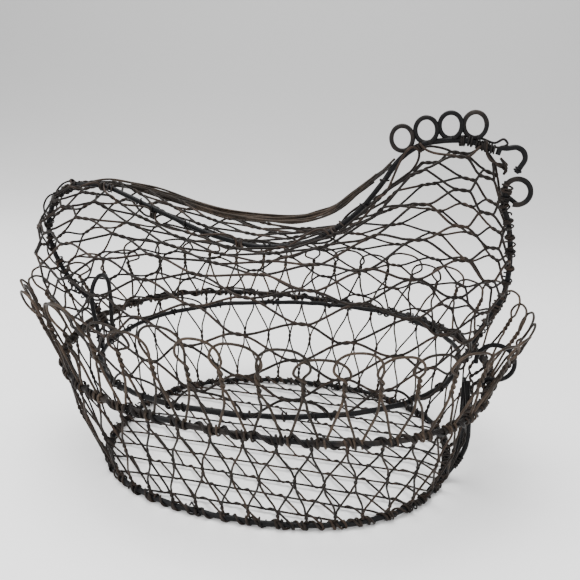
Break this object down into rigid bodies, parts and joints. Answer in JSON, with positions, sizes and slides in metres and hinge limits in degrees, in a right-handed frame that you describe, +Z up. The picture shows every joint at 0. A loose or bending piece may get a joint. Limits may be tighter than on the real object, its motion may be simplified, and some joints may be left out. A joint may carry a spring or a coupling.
{
  "type": "wire egg basket",
  "caption": "Wire basket in the shape of a sitting hen: an oval nest of hexagonal netting with a flared frill, and a lift-off hen lid with comb, beak and wattle.",
  "frame": {"origin": "on the table under the middle of the nest's floor ring", "axes": "+X towards the hen's head, +Z up, +Y towards the hen's left side"},
  "size_m": [0.2691, 0.2119, 0.1878],
  "materials": {
    "frame_wire": "dark aged iron wire, dull with worn edges",
    "netting_wire": "dark aged iron netting with brown rust at the twists",
    "frill_wire": "browned iron netting, rusty and dull",
    "binding_wire": "thin dark binding wire, dull"
  },
  "bodies": {
    "nest": {"floor_ring": "frame_wire", "rim_ring": "frame_wire", "floor_ring_lashing": "binding_wire", "rim_lashing": "binding_wire", "wall_netting": "netting_wire", "floor_line_wires": "netting_wire", "floor_stair_wires": "netting_wire", "frill_outer_hoops": "frill_wire", "frill_inner_hoops": "frill_wire", "front_upright": "frame_wire", "front_upright_tie": "binding_wire", "rear_frill_tie": "binding_wire", "floor_binding_curls": "binding_wire"},
    "lid": {"lid_ring": "frame_wire", "tail_wire": "frame_wire", "back_wire": "frame_wire", "breast_wire": "frame_wire", "netting_left_side": "netting_wire", "netting_right_side": "netting_wire", "shoulder_bundle": "netting_wire", "comb_loops": "frame_wire", "beak_wire": "frame_wire", "wattle_ring": "frame_wire", "tail_lashing": "binding_wire", "back_lashing": "binding_wire", "breast_lashing": "binding_wire", "crown_binding": "binding_wire", "wattle_binding": "binding_wire", "lid_ring_lashing": "binding_wire", "finger_loop": "frame_wire", "finger_loop_binding": "binding_wire"},
    "front_ring": {"front_ring": "frame_wire"}
  },
  "joints": [
    {"name": "lid_lift", "type": "slide", "parent": "nest", "child": "lid", "axis": [0, 0, 1], "range_m": [0, 0.18]},
    {"name": "front_ring_swing", "type": "hinge", "parent": "nest", "child": "front_ring", "pos_m": [0.113, 0, 0.05175], "axis": [0, 1, 0], "range_deg": [0, 75]}
  ]
}
